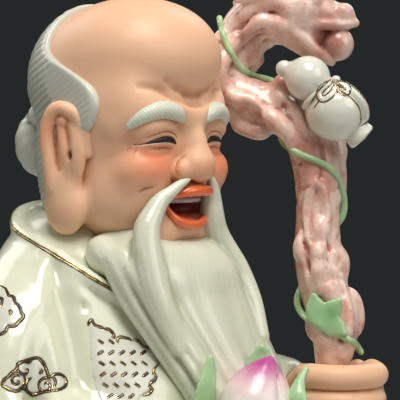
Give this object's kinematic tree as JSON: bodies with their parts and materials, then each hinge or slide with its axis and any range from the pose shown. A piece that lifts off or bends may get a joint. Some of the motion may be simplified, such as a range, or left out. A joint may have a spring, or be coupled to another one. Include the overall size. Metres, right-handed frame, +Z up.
{
  "type": "porcelain fu lu shou statue",
  "caption": "Standing porcelain figure of a bald, long-bearded old god of long life in a robe, holding a peach and a gnarled dragon staff with a gourd, on a low base.",
  "frame": {"origin": "centre of the base's flat underside", "axes": "+Z up; the figure faces -Y, so its left hand with the staff is at +X and its right hand with the peach is in front at -Y"},
  "size_m": [0.1815, 0.1711, 0.4131],
  "materials": {
    "white_glaze": "glazed porcelain, ivory white",
    "pink_bisque": "porcelain, painted pink with red in the hollows, glazed"
  },
  "bodies": {
    "root": {"figure": "white_glaze", "staff": "pink_bisque"}
  },
  "joints": []
}
